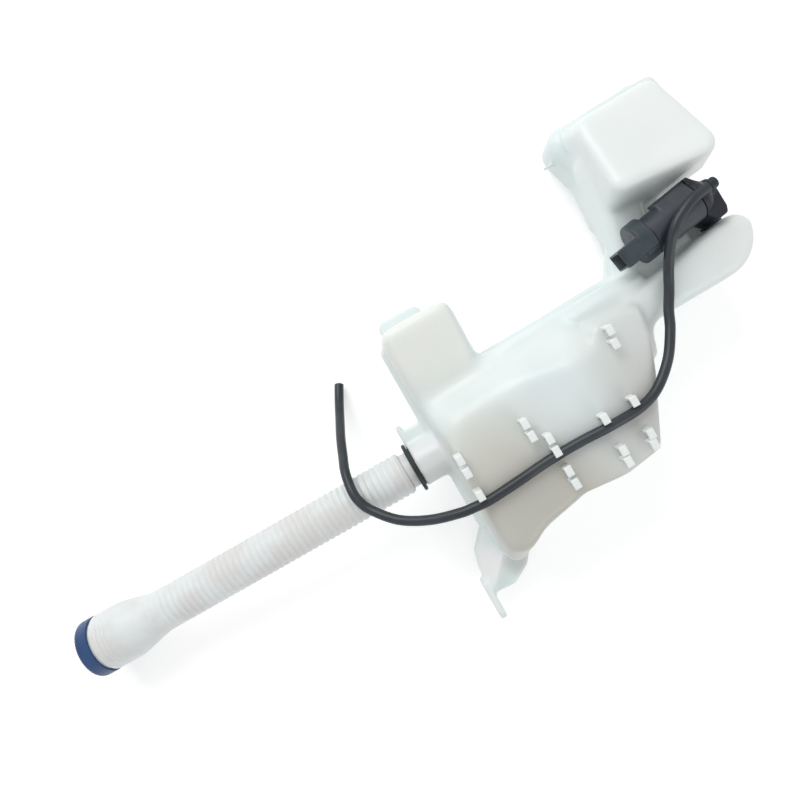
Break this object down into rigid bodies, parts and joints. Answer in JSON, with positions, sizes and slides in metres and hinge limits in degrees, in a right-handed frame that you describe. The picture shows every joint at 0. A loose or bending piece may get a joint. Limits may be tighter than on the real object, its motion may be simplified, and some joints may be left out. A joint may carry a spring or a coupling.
{
  "type": "washer fluid reservoir",
  "caption": "Blow-moulded vehicle washer tank with a corrugated filler tube and cap, an electric washer pump in its side and a rubber hose held by hooks on its face.",
  "frame": {"origin": "on the flat back face of the tank, under the middle of the main chamber", "axes": "+X along the object from the filler cap to the far lobes, +Z out of the back through the raised front, +Y towards the left and top lobes; the part lies on its back"},
  "size_m": [0.6868, 0.355, 0.1347],
  "materials": {
    "milky_polyethylene": "translucent natural polyethylene, satin",
    "tube_polyethylene": "natural polyethylene, satin",
    "black_rubber": "smooth satin rubber",
    "blue_cap": "satin blue moulding",
    "grey_foam": "sealing foam",
    "black_nylon": "moulded satin black",
    "steel": "drawn steel",
    "ferrite": "dark grey ferrite and board",
    "copper": "enamelled copper winding on its core",
    "bronze": "plain",
    "carbon": "carbon",
    "white_nylon": "moulded nylon"
  },
  "bodies": {
    "tank": {"tank": "milky_polyethylene", "filler_tube": "tube_polyethylene", "neck_gasket": "black_rubber", "pump_housing": "black_nylon", "pump_end_cap": "black_nylon", "terminal_left": "bronze", "terminal_right": "bronze", "motor_can": "steel", "magnet_upper": "ferrite", "magnet_lower": "ferrite", "brush_left": "carbon", "brush_right": "carbon", "brush_plate": "ferrite", "rear_bush": "bronze", "front_bush": "bronze", "shaft_seal": "black_rubber", "pump_head": "black_nylon", "inlet_grommet": "black_rubber", "inlet_strainer": "white_nylon", "washer_hose": "black_rubber"},
    "cap": {"filler_cap": "blue_cap", "cap_liner": "grey_foam"},
    "rotor": {"rotor_shaft": "steel", "armature_core": "copper", "commutator": "bronze", "impeller": "white_nylon"}
  },
  "joints": [
    {"name": "cap_pull", "type": "slide", "parent": "tank", "child": "cap", "axis": [-0.9889, 0, -0.1487], "range_m": [0, 0.014]},
    {"name": "rotor_spin", "type": "hinge", "parent": "tank", "child": "rotor", "pos_m": [0.1495, 0.1051, 0.108], "axis": [0.9877, 0.1564, 0], "continuous": true}
  ]
}
